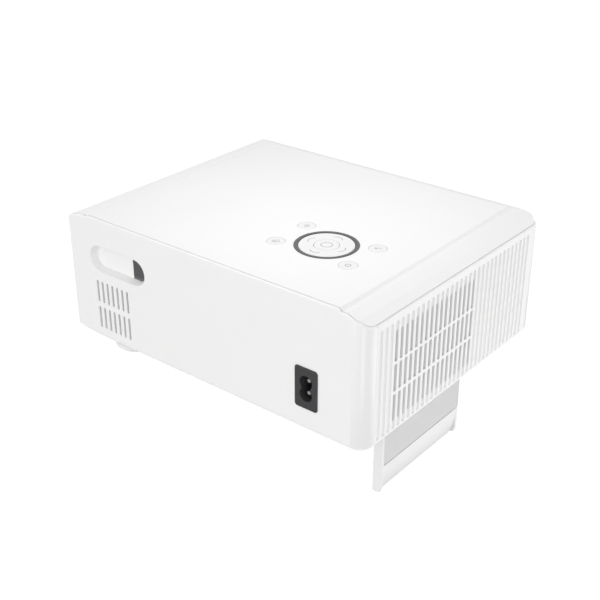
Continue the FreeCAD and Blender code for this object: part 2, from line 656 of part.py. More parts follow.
# ---------------------------------------------------------------- fans
def fan(label, axis, centre, half, thick, start, blades):
    """A square axial fan: frame with motor seat, and an impeller on its shaft."""
    end = f"{start} + {thick}"
    first, second = centre
    first_pair = (f"{first} - {half}", f"{first} + {half}")
    second_pair = (f"{second} - {half}", f"{second} + {half}")
    span = (start, end)
    box = {"x": (span, first_pair, second_pair), "y": (first_pair, span, second_pair)}[axis]
    bore = f"{half} - 2"
    hub = f"{half} * 0.36"
    holes = [rod(axis, (f"{first} + {a} * ({half} - 4)", f"{second} + {b} * ({half} - 4)"), "2.1", span)
             for a, b in CORNER_SIGNS]
    seat_span = (f"{end} - 2", end)
    struts = [rod(axis, centre, hub, seat_span)]
    bar_first = ((first_pair[0], first_pair[1]), (f"{second} - 1.5", f"{second} + 1.5"))
    bar_second = ((f"{first} - 1.5", f"{first} + 1.5"), second_pair)
    for bar in (bar_first, bar_second):
        struts.append(block(*{"x": (seat_span, *bar), "y": (bar[0], seat_span, bar[1])}[axis]))
    casing = joined(minus(block(*box), rod(axis, centre, bore, span), *holes), *struts)
    piece(label + "_frame", minus(casing, rod(axis, centre, "1.55", span)))
    wheel = [rod(axis, centre, hub, (f"{start} + 1", f"{end} - 2.6")),
             rod(axis, centre, "1.5", (f"{end} - 2.6", f"{end} - 0.2"))]
    chord = number(f"({thick}) * 0.72")
    for step in range(blades):
        blade = add("Part::Box", "blade")
        bind(blade, Length=f"{half} - 3.4 - {hub} + 1", Width="1.2", Height=str(chord))
        radial = Rotation(Vector(0, 0, 1), 360 * step / blades)
        pitched = Rotation(Vector(1, 0, 0), -38)
        turn = ALONG[axis] * radial * pitched
        out = (ALONG[axis] * radial).multVec(Vector(number(hub) - 1, 0, 0))
        lift = (ALONG[axis] * radial * pitched).multVec(Vector(0, -0.6, -chord / 2))
        along = ALONG[axis].multVec(Vector(0, 0, number(f"({thick}) / 2 - 0.9")))
        where = {"x": (start, first, second), "y": (first, start, second)}[axis]
        shifts = zip(where, out + lift + along)
        put(blade, *[f"({spot}) + ({shift:.5f})" for spot, shift in shifts], turn=turn)
        wheel.append(blade)
    piece(label + "_impeller", joined(*wheel))


fan("main_fan", "x", ("axis_y", "axis_z"), "35", "15", "-111", 7)
fan("panel_fan", "y", ("10", "axis_z"), "25", "12", "-37", 9)

# ---------------------------------------------------------------- light source
fins = [block(("-90", "-62"), (f"axis_y + {5.6 * step:.1f} - 0.6", f"axis_y + {5.6 * step:.1f} + 0.6"),
              ("axis_z - 33", "axis_z + 33")) for step in range(-6, 7)]
sink_base = block(("-62", "-58"), ("axis_y - 35", "axis_y + 35"), ("axis_z - 33", "axis_z + 33"))
piece("heat_sink", joined(sink_base, *fins))
piece("led_board", block(("-58", "-56.4"), ("axis_y - 15", "axis_y + 15"), ("axis_z - 15", "axis_z + 15")))
piece("led_emitter", block(("-56.4", "-54"), ("axis_y - 7", "axis_y + 7"), ("axis_z - 7", "axis_z + 7")))


def dome_lens(label, axis, centre, radius, span, curve, bulge):
    """A plano-convex lens: a disc cut by a sphere that touches its high (+1) or low (-1) face."""
    ball = add("Part::Sphere", "ball")
    bind(ball, Radius=str(curve))
    touched = span[1] if bulge > 0 else span[0]
    place_on_axis(ball, axis, centre, f"({touched}) - ({bulge}) * {curve}")
    return piece(label, common(rod(axis, centre, radius, span), ball))


dome_lens("condenser_lens", "x", ("axis_y", "axis_z"), "19", ("-49.6", "-38"), 26, 1)

# ---------------------------------------------------------------- optical engine
engine_x = ("-52", "106")
engine_y = ("axis_y - engine_half", "axis_y + engine_half")
engine_floor = "engine_low + engine_wall"
engine_in_x = (f"{engine_x[0]} + engine_wall", f"{engine_x[1]} - engine_wall")
engine_in_y = (f"{engine_y[0]} + engine_wall", f"{engine_y[1]} - engine_wall")
engine_box = minus(block(engine_x, engine_y, ("engine_low", "engine_high")),
                   block(engine_in_x, engine_in_y, (engine_floor, "engine_high + 1")))
engine_legs = [rod("z", (x, y), "4", ("base_floor", "engine_low"))
               for x in ("-40", "92") for y in ("axis_y - 42", "axis_y + 30")]
front_wall = (f"{engine_y[0]} - 1", f"{engine_y[0]} + engine_wall + 1")
engine_cuts = [
    rod("x", ("axis_y", "axis_z"), "16", (f"{engine_x[0]} - 1", f"{engine_x[0]} + engine_wall + 1")),
    rod("y", ("lens_x", "axis_z"), "barrel_radius + running", front_wall),
    rod("y", ("10", "axis_z"), "22", front_wall),
]
piece("engine_housing", minus(joined(engine_box, *engine_legs), *engine_cuts))
piece("engine_cover", block(engine_x, engine_y, ("engine_high", "engine_high + 2")))


def plate(label, low, high):
    """A flat optical plate standing across the light path, wedged between the housing walls."""
    return piece(label, block((low, high), engine_in_y, (engine_floor, "engine_high - 1.5")))


plate("fresnel_in", "-8", "-6")
plate("heat_glass", "0", "1.6")
plate("lcd_panel", "8", "11")
plate("fresnel_out", "18", "20")
mirror = add("Part::Box", "mirror_box")
bind(mirror, Length="mirror_long", Width="3", Height="60")
mirror_reach = f"mirror_long * {math.sqrt(0.5) / 2:.6f}"
put(mirror, f"lens_x - {mirror_reach}", f"axis_y + {mirror_reach}", engine_floor,
    turn=Rotation(Vector(0, 0, 1), -45))
piece("mirror", mirror)

# ---------------------------------------------------------------- projection lens
lens_centre = ("lens_x", "axis_z")
tube_span = ("-90", engine_y[0])
tube = joined(rod("y", lens_centre, "tube_radius", tube_span),
              rod("y", lens_centre, "tube_radius + 1.5", (f"{engine_y[0]} - 4", engine_y[0])))
piece("lens_tube", minus(tube, rod("y", lens_centre, "barrel_radius + running", tube_span)))
GRIP_RIBS = 36
grip_grooves = []
for step in range(GRIP_RIBS):
    angle = 2 * math.pi * step / GRIP_RIBS
    spot = (f"lens_x + grip_radius * {math.cos(angle):.6f}", f"axis_z + grip_radius * {math.sin(angle):.6f}")
    grip_grooves.append(rod("y", spot, "1.1", ("-97.5", "-80")))
ring_core = minus(rod("y", lens_centre, "grip_radius", ("-99", "-74")),
                  rod("y", lens_centre, "tube_radius + running", ("-95", "-74")),
                  rod("y", lens_centre, "barrel_radius + 0.5", ("-99", "-90")))
piece("focus_ring", minus(ring_core, *grip_grooves))
piece("lens_barrel", minus(pipe("y", lens_centre, "barrel_radius", "24.5", ("-87", "-34")),
                           rod("y", lens_centre, "25.5", ("-84", "-76"))))
dome_lens("front_element", "y", lens_centre, "25.5", ("-84", "-76"), 60, -1)
piece("rear_element", rod("y", lens_centre, "24.5", ("-44", "-37")))
bezel = joined(pipe("y", lens_centre, "35.6", "33.6", ("-depth / 2", "-98.6")),
               pipe("y", lens_centre, "37.6", "33.6", ("-depth / 2 - 1.4", "-depth / 2")))
piece("lens_bezel", bezel)

# ---------------------------------------------------------------- rear fittings
inlet_span = ("82", "depth / 2")
pin_spots = [("inlet_x", f"inlet_z - 0.1 + {side} * pin_apart") for side in (-1, 1)]
lobes = [rod("y", spot, "4.8", ("89", "depth")) for spot in pin_spots]
waist = block(("inlet_x - 3.5", "inlet_x + 3.5"), ("89", "depth"), ("inlet_z - 4.4", "inlet_z + 4.2"))
flange = prism("inlet_flange", "XZ_Plane", [
    ("inlet_x - 8.7", "inlet_z - 14.4"), ("inlet_x + 8.7", "inlet_z - 14.4"),
    ("inlet_x + 8.7", "inlet_z + 14.4"), ("inlet_x - 8.7", "inlet_z + 14.4")],
    ("depth / 2", "depth / 2 + 0.8"))
rounded(flange, "2", lambda edge: abs(edge.Length - 0.8) < 0.01)
rounded(flange, "0.35", lambda edge: middle(edge).y > number("depth / 2 + 0.79"))
inlet_core = block(("inlet_x - 7.2", "inlet_x + 7.2"), inlet_span, ("inlet_z - 12.9", "inlet_z + 12.9"))
PIN_RADIUS = "1.2"
piece("inlet_housing", minus(joined(inlet_core, flange), *lobes, waist,
                             *[rod("y", spot, PIN_RADIUS, ("80", "90")) for spot in pin_spots]))
piece("inlet_pins", group(*[rod("y", spot, PIN_RADIUS, ("80", "100.5")) for spot in pin_spots]))
recess_floor = "depth / 2 - recess_deep"
recess_back = f"{recess_floor} - recess_skin"
FLOOR_INSET, MOUTH_INSET = "1.8", "0.2"


def recess_oblong(inset, span):
    """The recess outline, moved inwards."""
    halves = (f"recess_long / 2 - {inset}", f"recess_tall / 2 - {inset}")
    return oblong("y", ("recess_x", "recess_z"), *halves, span)


def recess_flare():
    """The recess, wider at its mouth: two cones and the prism between them."""
    span = (recess_floor, "depth / 2")
    radii = (f"recess_tall / 2 - {FLOOR_INSET}", f"recess_tall / 2 - {MOUTH_INSET}")
    reach = "(recess_long - recess_tall) / 2"
    ends = [taper("y", (f"recess_x + {side} * {reach}", "recess_z"), radii, span) for side in (-1, 1)]
    bar = prism("recess_bar", "YZ_Plane", [
        (span[0], f"recess_z - ({radii[0]})"), (span[1], f"recess_z - ({radii[1]})"),
        (span[1], f"recess_z + {radii[1]}"), (span[0], f"recess_z + {radii[0]}")],
        (f"recess_x - {reach}", f"recess_x + {reach}"))
    return joined(bar, *ends)


recess_cup = minus(recess_oblong("0", (recess_back, "depth / 2")), recess_flare())
window_x = ("recess_x - recess_long / 2", "recess_x - recess_long / 2 + window_long")
window_box = block(window_x, (recess_back, f"{recess_floor} + 0.1"), ("recess_z - 12", "recess_z + 12"))
window = common(window_box, recess_oblong(FLOOR_INSET, (recess_back, "depth")))
piece("receiver_window", window)
piece("receiver_recess", minus(recess_cup, window))
piece("receiver_board", block(("recess_x - 25", "recess_x - 7"), ("90", "91.6"),
                              ("recess_z - 8", "recess_z + 8")))

# ---------------------------------------------------------------- speaker
speaker_centre = ("speaker_x", "speaker_z")
speaker_back = ("80", "86")
speaker_plate = block(("speaker_x - 18", "speaker_x + 18"), ("98.6", "depth / 2 - wall - 0.6"),
                      ("speaker_z - 20", "speaker_z + 20"))
basket_span = ("86", "98.6")
basket = minus(taper("y", speaker_centre, ("11", "17"), basket_span),
               taper("y", speaker_centre, ("9", "15.4"), basket_span))
piece("speaker_frame", minus(joined(speaker_plate, basket, rod("y", speaker_centre, "12", speaker_back)),
                             rod("y", speaker_centre, "15.4", ("98.5", "depth"))))
piece("speaker_cone", minus(taper("y", speaker_centre, ("5", "15"), ("89", "98.4")),
                            taper("y", speaker_centre, ("4.2", "14.2"), ("89.4", "98.8"))))

# ---------------------------------------------------------------- boards and sockets
piece("main_board", block(("114", "115.6"), ("-72", "62"), ("10", "74")))
socket_x = ("115.6", "width / 2 - 0.3")


def sockets(label, kind):
    """Rectangular sockets standing on the main board with their mouths at the port side."""
    half_long, half_tall = kind["half_long"], kind["half_tall"]
    shells = []
    for place in kind["places"]:
        shell = block(socket_x, (f"{place} - {half_long}", f"{place} + {half_long}"),
                      (f"port_z - {half_tall}", f"port_z + {half_tall}"))
        mouth = block(("117", "width"), (f"{place} - {half_long} + 0.5", f"{place} + {half_long} - 0.5"),
                      (f"port_z - {half_tall} + 0.45", f"port_z + {half_tall} - 0.45"))
        shells.append(minus(shell, mouth))
    return piece(label, group(*shells))


sockets("hdmi_sockets", HDMI)
sockets("usb_sockets", USB)
piece("audio_jacks", group(*[pipe("x", (place, "port_z"), JACK_OUTER, "1.8", socket_x) for place in JACKS]))
piece("power_board", block(("-104", "-30"), ("-98", "-30"), ("8", "9.6")))
piece("transformer", joined(block(("-88", "-60"), ("-82", "-54"), ("9.6", "14")),
                            block(("-85", "-63"), ("-84", "-52"), ("14", "36"))))
CAPACITORS = (("-48", "-84"), ("-48", "-64"), ("-96", "-42"))
piece("capacitors", group(*[rod("z", spot, "8", ("9.6", "38")) for spot in CAPACITORS]))

# ---------------------------------------------------------------- check and write
doc.recompute()
faulty = [item.Name for item in doc.Objects if {"Invalid", "Error"} & set(item.State)]
if faulty:
    raise SystemExit(f"objects failed to recompute: {faulty}")
for label, item in pieces.items():
    if item.Shape.isNull() or not item.Shape.isValid() or not item.Shape.Solids:
        raise SystemExit(f"{label} has no valid solid")
for label, item in pieces.items():
    item.Shape.exportStep(f"parts/{label}.step")
print(f"{len(pieces)} pieces written")
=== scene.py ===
"""Looks of the home projector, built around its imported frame.

Everything is in metres in the frame of the part: +Z is up, the lens looks along -Y and the ribbed vent side
is at -X.
"""

import json
import math

import bmesh
import bpy
from mathutils import Matrix, Vector


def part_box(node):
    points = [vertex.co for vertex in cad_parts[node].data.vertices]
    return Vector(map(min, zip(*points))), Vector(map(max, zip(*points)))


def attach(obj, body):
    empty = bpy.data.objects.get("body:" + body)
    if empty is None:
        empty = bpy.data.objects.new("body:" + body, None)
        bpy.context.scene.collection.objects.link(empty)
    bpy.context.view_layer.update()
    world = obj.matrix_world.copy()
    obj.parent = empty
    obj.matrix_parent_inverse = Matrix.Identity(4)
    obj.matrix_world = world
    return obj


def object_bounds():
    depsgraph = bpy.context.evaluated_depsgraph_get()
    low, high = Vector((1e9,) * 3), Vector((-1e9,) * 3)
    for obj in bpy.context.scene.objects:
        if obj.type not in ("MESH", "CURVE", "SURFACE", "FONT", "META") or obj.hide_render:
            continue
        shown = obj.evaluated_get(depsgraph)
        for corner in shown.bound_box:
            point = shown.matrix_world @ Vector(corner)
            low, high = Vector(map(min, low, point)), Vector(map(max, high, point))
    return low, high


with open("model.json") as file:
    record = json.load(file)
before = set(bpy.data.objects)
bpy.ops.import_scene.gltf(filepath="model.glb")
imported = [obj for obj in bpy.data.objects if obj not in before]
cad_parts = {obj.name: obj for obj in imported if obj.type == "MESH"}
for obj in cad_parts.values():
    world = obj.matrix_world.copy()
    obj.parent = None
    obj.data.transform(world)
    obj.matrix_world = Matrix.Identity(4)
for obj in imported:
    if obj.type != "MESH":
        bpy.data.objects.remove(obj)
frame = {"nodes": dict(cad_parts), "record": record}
cad_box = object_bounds()
NODES = frame["nodes"]
MM = 0.001


# ---------------------------------------------------------------- node materials
def new_material(name):
    """A node material with its principled shader, and the texture coordinates of the part's frame."""
    material = bpy.data.materials.new(name)
    material.use_nodes = True
    tree = material.node_tree
    shader = tree.nodes["Principled BSDF"]
    place = tree.nodes.new("ShaderNodeTexCoord").outputs["Object"]
    return material, tree, shader, place


def noise(tree, place, size, detail=3.0, rough=0.55):
    """Noise whose features are about that size, in metres."""
    texture = tree.nodes.new("ShaderNodeTexNoise")
    texture.inputs["Scale"].default_value = 1.0 / size
    texture.inputs["Detail"].default_value = detail
    texture.inputs["Roughness"].default_value = rough
    tree.links.new(place, texture.inputs["Vector"])
    return texture.outputs["Fac"]


def ramp(tree, value, stops):
    """A colour ramp with (position, colour) stops."""
    node = tree.nodes.new("ShaderNodeValToRGB")
    elements = node.color_ramp.elements
    while len(elements) < len(stops):
        elements.new(0.5)
    for element, (position, colour) in zip(elements, stops):
        element.position = position
        element.color = (*colour, 1.0)
    tree.links.new(value, node.inputs["Fac"])
    return node.outputs["Color"]


def spread(tree, value, low, high, start=0.0):
    """Map start..1 to low..high."""
    node = tree.nodes.new("ShaderNodeMapRange")
    node.inputs["From Min"].default_value = start
    node.inputs["To Min"].default_value = low
    node.inputs["To Max"].default_value = high
    tree.links.new(value, node.inputs["Value"])
    return node.outputs["Result"]


def add_bump(tree, shader, layers, edge=None):
    """Stack (height, depth in metres) layers, over a softened edge normal if edge is given."""
    normal = None
    if edge:
        soft = tree.nodes.new("ShaderNodeBevel")
        soft.samples = 4
        soft.inputs["Radius"].default_value = edge
        normal = soft.outputs["Normal"]
    for height, depth in layers:
        bump = tree.nodes.new("ShaderNodeBump")
        bump.inputs["Strength"].default_value = 1.0
        bump.inputs["Distance"].default_value = depth
        tree.links.new(height, bump.inputs["Height"])
        if normal:
            tree.links.new(normal, bump.inputs["Normal"])
        normal = bump.outputs["Normal"]
    tree.links.new(normal, shader.inputs["Normal"])


def shade(colour, factor):
    return tuple(min(1.0, channel * factor) for channel in colour)


def moulded(name, colour, rough=0.33, grain=0.45 * MM, depth=0.006 * MM, edge=None, coat=0.0):
    """Moulded plastic: fine spark-erosion grain, slow thickness mottling and a faint sheen change."""
    material, tree, shader, place = new_material(name)
    mottle = noise(tree, place, 38 * MM, 2.0)
    tone = ramp(tree, mottle, [(0.3, shade(colour, 0.994)), (0.7, shade(colour, 1.004))])
    tree.links.new(tone, shader.inputs["Base Color"])
    fine = noise(tree, place, grain, 2.0, 0.6)
    handled = noise(tree, place, 11 * MM, 3.0)
    tree.links.new(spread(tree, handled, rough - 0.04, rough + 0.05), shader.inputs["Roughness"])
    add_bump(tree, shader, [(fine, depth)], edge)
    shader.inputs["Coat Weight"].default_value = coat
    shader.inputs["Coat Roughness"].default_value = 0.12
    return material


def rubber(name, colour):
    material, tree, shader, place = new_material(name)
    worn = noise(tree, place, 5 * MM, 4.0, 0.65)
    tone = ramp(tree, worn, [(0.3, shade(colour, 0.9)), (0.65, colour)])
    tree.links.new(tone, shader.inputs["Base Color"])
    shader.inputs["Roughness"].default_value = 0.78
    shader.inputs["Sheen Weight"].default_value = 0.15
    add_bump(tree, shader, [(noise(tree, place, 0.6 * MM, 3.0), 0.03 * MM)])
    return material


def metal(name, colour, rough, brush=None):
    """Bare metal; brush is the axis that the fine drawing marks run along."""
    material, tree, shader, place = new_material(name)
    stretch = tree.nodes.new("ShaderNodeMapping")
    scale = [1.0, 1.0, 1.0]
    if brush is not None:
        scale[brush] = 0.04
    stretch.inputs["Scale"].default_value = scale
    tree.links.new(place, stretch.inputs["Vector"])
    marks = noise(tree, stretch.outputs["Vector"], 0.35 * MM, 4.0, 0.7)
    tone = ramp(tree, marks, [(0.25, shade(colour, 0.86)), (0.75, shade(colour, 1.06))])
    tree.links.new(tone, shader.inputs["Base Color"])
    tree.links.new(spread(tree, marks, rough - 0.06, rough + 0.1), shader.inputs["Roughness"])
    shader.inputs["Metallic"].default_value = 1.0
    add_bump(tree, shader, [(marks, 0.012 * MM)])
    return material


def board(name, mask, copper):
    """Solder mask over routed tracks."""
    material, tree, shader, place = new_material(name)
    tracks = tree.nodes.new("ShaderNodeTexBrick")
    tracks.inputs["Scale"].default_value = 140.0
    tracks.inputs["Mortar Size"].default_value = 0.035
    tracks.inputs["Brick Width"].default_value = 0.9
    tracks.inputs["Row Height"].default_value = 0.31
    tracks.inputs["Color1"].default_value = (*mask, 1)
    tracks.inputs["Color2"].default_value = (*shade(mask, 0.8), 1)
    tracks.inputs["Mortar"].default_value = (*copper, 1)
    tree.links.new(place, tracks.inputs["Vector"])
    tree.links.new(tracks.outputs["Color"], shader.inputs["Base Color"])
    shader.inputs["Roughness"].default_value = 0.3
    shader.inputs["Coat Weight"].default_value = 0.4
    add_bump(tree, shader, [(tracks.outputs["Fac"], 0.02 * MM), (noise(tree, place, 2 * MM), 0.01 * MM)])
    return material


def glass(name, colour, rough=0.03, haze=0.0):
    material, tree, shader, place = new_material(name)
    shader.inputs["Base Color"].default_value = (*colour, 1)
    shader.inputs["Transmission Weight"].default_value = 1.0 - haze
    shader.inputs["IOR"].default_value = 1.52
    shader.inputs["Coat Weight"].default_value = 0.5
    smear = noise(tree, place, 9 * MM, 4.0)
    tree.links.new(spread(tree, smear, rough, rough + 0.04), shader.inputs["Roughness"])
    return material


WAVE_REPEAT = 0.314  # metres between the bands of a wave texture at scale 1


def fabric(name, colour, pitch):
    """Fine woven cloth: two crossing thread waves."""
    material, tree, shader, place = new_material(name)
    waves = []
    for direction in ("Y", "Z"):
        wave = tree.nodes.new("ShaderNodeTexWave")
        wave.bands_direction = direction
        wave.inputs["Scale"].default_value = WAVE_REPEAT / pitch
        wave.inputs["Distortion"].default_value = 0.4
        tree.links.new(place, wave.inputs["Vector"])
        waves.append(wave.outputs["Fac"])
    weave = tree.nodes.new("ShaderNodeMath")
    weave.operation = "MULTIPLY"
    for at, wave in enumerate(waves):
        tree.links.new(wave, weave.inputs[at])
    tone = ramp(tree, weave.outputs[0], [(0.05, shade(colour, 0.8)), (0.6, colour)])
    tree.links.new(tone, shader.inputs["Base Color"])
    shader.inputs["Roughness"].default_value = 0.85
    shader.inputs["Sheen Weight"].default_value = 0.3
    add_bump(tree, shader, [(weave.outputs[0], 0.12 * MM)])
    return material


WHITE = (0.865, 0.865, 0.863)
MATERIALS = {
    "white_shell": moulded("satin_white", WHITE, edge=0.35 * MM),
    "white_grille": moulded("grille_white", shade(WHITE, 0.985), rough=0.46, edge=0.2 * MM),
    "key_white": moulded("key_cap_white", shade(WHITE, 0.94), rough=0.36, grain=0.3 * MM, edge=0.15 * MM),
    # The cassette is the shell white darkened to 0.95: painted shade for its grip, which the light from below
    # brightens.
    "filter_white": moulded("cassette_white_painted_shade", shade(WHITE, 0.95), rough=0.45, edge=0.25 * MM),
    "ring_dark": moulded("ring_grey", (0.063, 0.063, 0.066), rough=0.24, depth=0.002 * MM, edge=0.2 * MM,
                         coat=0.3),
    "window_dark": moulded("smoked_window", (0.076, 0.076, 0.081), rough=0.16, depth=0.001 * MM, coat=0.5),
    "inlet_black": moulded("inlet_grey", (0.035, 0.035, 0.038), rough=0.38, edge=0.2 * MM),
    "black_plastic": moulded("moulded_black", (0.03, 0.03, 0.032), rough=0.45, edge=0.2 * MM),
    "rubber_foot": rubber("pale_rubber", (0.86, 0.86, 0.86)),
    "silicone_pad": rubber("silicone", (0.62, 0.62, 0.62)),
    "filter_cloth": fabric("filter_cloth", (0.70, 0.70, 0.70), 0.6 * MM),
    "cone_paper": rubber("pressed_paper", (0.06, 0.06, 0.062)),
    "bare_aluminium": metal("extruded_aluminium", (0.78, 0.79, 0.80), 0.32, brush=2),
    "bright_steel": metal("plated_steel", (0.72, 0.72, 0.73), 0.24),
    "pin_metal": metal("nickel_plate", (0.86, 0.85, 0.83), 0.16),
    "insert_brass": metal("turned_brass", (0.74, 0.55, 0.26), 0.25, brush=2),
    "mirror_silver": metal("silvered_mirror", (0.93, 0.93, 0.94), 0.07),
    "board_green": board("green_board", (0.02, 0.13, 0.055), (0.10, 0.30, 0.12)),
    "clear_glass": glass("optical_glass", (0.97, 0.99, 0.985)),
    "panel_glass": glass("lcd_glass", (0.35, 0.38, 0.42), 0.06, 0.4),
    "led_yellow": moulded("phosphor", (0.85, 0.66, 0.12), rough=0.6),
}
CORNER_KEYS = ("power_key", "source_key", "back_key", "menu_key")
GREY_CAP = moulded("grey_key_cap", shade(WHITE, 0.93), rough=0.4, grain=0.3 * MM, edge=0.15 * MM)
PRINT_GREY = moulded("printed_grey", (0.34, 0.34, 0.35), rough=0.5, depth=0.001 * MM)
# Dark grey of the punched sheets behind the vent and speaker slots: painted shade for the dark inside of the
# housing.
HOUSING_SHADE_GREY = moulded("painted_shade_grey", (0.20, 0.20, 0.20), rough=0.6)
LABEL_SILVER = moulded("label_silver", (0.62, 0.62, 0.63), rough=0.35, depth=0.001 * MM)
THREAD_WHITE = moulded("nylon_thread", (0.73, 0.73, 0.73), rough=0.5, depth=0.002 * MM)
SOFT_EDGES = ("rear_shell", "top_cover", "side_grille", "front_panel", "port_panel", "filter_frame", "base_pan",
              "inlet_housing", "nav_pad", "nav_ring", "ok_key", *CORNER_KEYS, "receiver_recess", "round_foot",
              "lens_bezel", "focus_ring")
WIDE_EDGES = ("front_panel", "top_cover", "base_pan", "round_foot")


def dress_nodes():
    """Give each CAD node the material of its slot."""
    for row in frame["record"]["subparts"]:
        node = NODES[row["node"]]
        material = GREY_CAP if row["node"] in CORNER_KEYS else MATERIALS[row["material_slot"]]
        if not node.material_slots:
            node.data.materials.append(material)
        for slot in node.material_slots:
            slot.link = "OBJECT"
            slot.material = material


def soften(node, width):
    """Rounded moulding edges: merge the flat facets, then bevel what is left sharp."""
    weld = node.modifiers.new("weld", "WELD")
    weld.merge_threshold = 2e-6
    flat = node.modifiers.new("flat", "DECIMATE")
    flat.decimate_type = "DISSOLVE"
    flat.angle_limit = math.radians(0.6)
    edge = node.modifiers.new("edge", "BEVEL")
    edge.width = width
    edge.segments = 2
    edge.limit_method = "ANGLE"
    edge.angle_limit = math.radians(35)
    edge.harden_normals = True


dress_nodes()
for name in SOFT_EDGES:
    soften(NODES[name], 0.35 * MM if name in WIDE_EDGES else 0.15 * MM)


# ---------------------------------------------------------------- mesh helpers
def add_piece(name, mesh, material, body="root"):
    """A finished mesh becomes a named piece that rides on a body."""
    made = bpy.data.objects.new(name, mesh)
    bpy.context.collection.objects.link(made)
    made.data.materials.append(material)
    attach(made, body)
    return made


def finish_mesh(name, build, smooth=False):
    """Turn a bmesh into mesh data."""
    bmesh.ops.recalc_face_normals(build, faces=build.faces)
    mesh = bpy.data.meshes.new(name)
    build.to_mesh(mesh)
    build.free()
    if smooth:
        mesh.shade_smooth()
    return mesh


def centre(node):
    low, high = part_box(node)
    return (Vector(low) + Vector(high)) / 2


def add_bar(build, low, high, ease=0.0):
    """A box with eased edges."""
    low, high = Vector(low), Vector(high)
    size = high - low
    place = Matrix.Translation((low + high) / 2) @ Matrix.Diagonal((*size, 1.0))
    made = bmesh.ops.create_cube(build, size=1.0, matrix=place)
    if ease:
        edges = list({edge for vert in made["verts"] for edge in vert.link_edges})
        bmesh.ops.bevel(build, geom=edges, offset=ease, segments=2, profile=0.6, affect="EDGES")


def add_stroke(build, path, width, low, high, closed=False):
    """A flat stroke of even width along a path of (x, y) points, standing between two heights."""
    count = len(path)
    sides = []
    for at, point in enumerate(path):
        ahead = path[(at + 1) % count] if closed or at + 1 < count else point
        behind = path[at - 1] if closed or at else point
        along = (Vector(ahead) - Vector(behind)).normalized()
        across = Vector((-along.y, along.x)) * width / 2
        sides.append([build.verts.new((*(Vector(point) + across * side), level))
                      for side, level in ((1, low), (1, high), (-1, high), (-1, low))])
    for at in range(count if closed else count - 1):
        here, there = sides[at], sides[(at + 1) % count]
        for corner in range(4):
            build.faces.new((here[corner], here[(corner + 1) % 4], there[(corner + 1) % 4], there[corner]))
    if not closed:
        build.faces.new(sides[0])
        build.faces.new(reversed(sides[-1]))


def arc(middle, radius, start, end, steps=20):
    """Points of an arc, in degrees."""
    angles = [math.radians(start + (end - start) * step / steps) for step in range(steps + 1)]
    return [(middle[0] + radius * math.cos(angle), middle[1] + radius * math.sin(angle)) for angle in angles]


def circle(middle, radius, steps=48):
    return arc(middle, radius, 0, 360, steps)[:-1]


def add_ring(build, middle, axis, profile, steps=48):
    """A closed (radius, along) profile turned about an axis through a point."""
    turn = Vector((0, 0, 1)).rotation_difference(Vector(axis)).to_matrix()
    loops = []
    for step in range(steps):
        angle = 2 * math.pi * step / steps
        loops.append([build.verts.new(Vector(middle) + turn @ Vector((radius * math.cos(angle),
                                                                     radius * math.sin(angle), along)))
                      for radius, along in profile])
    count = len(profile)
    for step in range(steps):
        here, there = loops[step], loops[(step + 1) % steps]
        for at in range(count):
            build.faces.new((here[at], here[(at + 1) % count], there[(at + 1) % count], there[at]))


def round_profile(radius, tube, steps=10):
    """The closed profile of a round bead."""
    return [(radius + tube * math.cos(2 * math.pi * step / steps), tube * math.sin(2 * math.pi * step / steps))
            for step in range(steps)]


# ---------------------------------------------------------------- key markings
PRINT_THICK = 0.05 * MM
STROKE = 0.42 * MM
KEY_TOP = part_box("power_key")[1].z


def local_paths(signs, middle, turn=225.0):
    """Paths in millimetres about a key's middle, turned to face the user."""
    cosine, sine = math.cos(math.radians(turn)), math.sin(math.radians(turn))
    return [([(middle.x + (x * cosine - y * sine) * MM, middle.y + (x * sine + y * cosine) * MM)
              for x, y in path], closed) for path, closed in signs]


SIGNS = {
    "power_key": [(arc((0, 0), 1.7, 120, 420), False), ([(0, 0.5), (0, 2.3)], False)],
    "source_key": [([(-2, -1.4), (2, -1.4), (2, 1.4), (-2, 1.4)], True), ([(-3.2, 0), (0.4, 0)], False)],
    "back_key": [([(1.8, -1.3), (1.8, 0.6), (-1.9, 0.6)], False),
                 ([(-0.8, 1.7), (-1.9, 0.6), (-0.8, -0.5)], False)],
    "menu_key": [([(-1.8, level), (1.8, level)], False) for level in (-1.3, 0, 1.3)],
}


def mark_key(node, signs, body):
    """Printed strokes on top of a key."""
    build = bmesh.new()
    for path, closed in local_paths(signs, centre(node)):
        add_stroke(build, path, STROKE, KEY_TOP - PRINT_THICK, KEY_TOP + PRINT_THICK, closed)
    add_piece(node + "_mark", finish_mesh(node + "_mark", build), PRINT_GREY, body)


for key, signs in SIGNS.items():
    mark_key(key, signs, key)
mark_key("ok_key", [(circle((0, 0), 3.75), True)], "ok_key")
CHEVRON = [(12.1, -3.8), (13.4, -2.5), (14.0, -1.0), (14.1, 0.0), (14.0, 1.0), (13.4, 2.5), (12.1, 3.8)]
quarter_turns = [(1, 0), (0, 1), (-1, 0), (0, -1)]
brackets = [([(x * c - y * s, x * s + y * c) for x, y in CHEVRON], False) for c, s in quarter_turns]
build = bmesh.new()
for path, closed in local_paths(brackets, centre("nav_pad"), 0.0):
    add_stroke(build, path, STROKE, KEY_TOP - PRINT_THICK, KEY_TOP + PRINT_THICK, closed)
add_piece("nav_pad_marks", finish_mesh("nav_pad_marks", build), PRINT_GREY, "nav_pad")


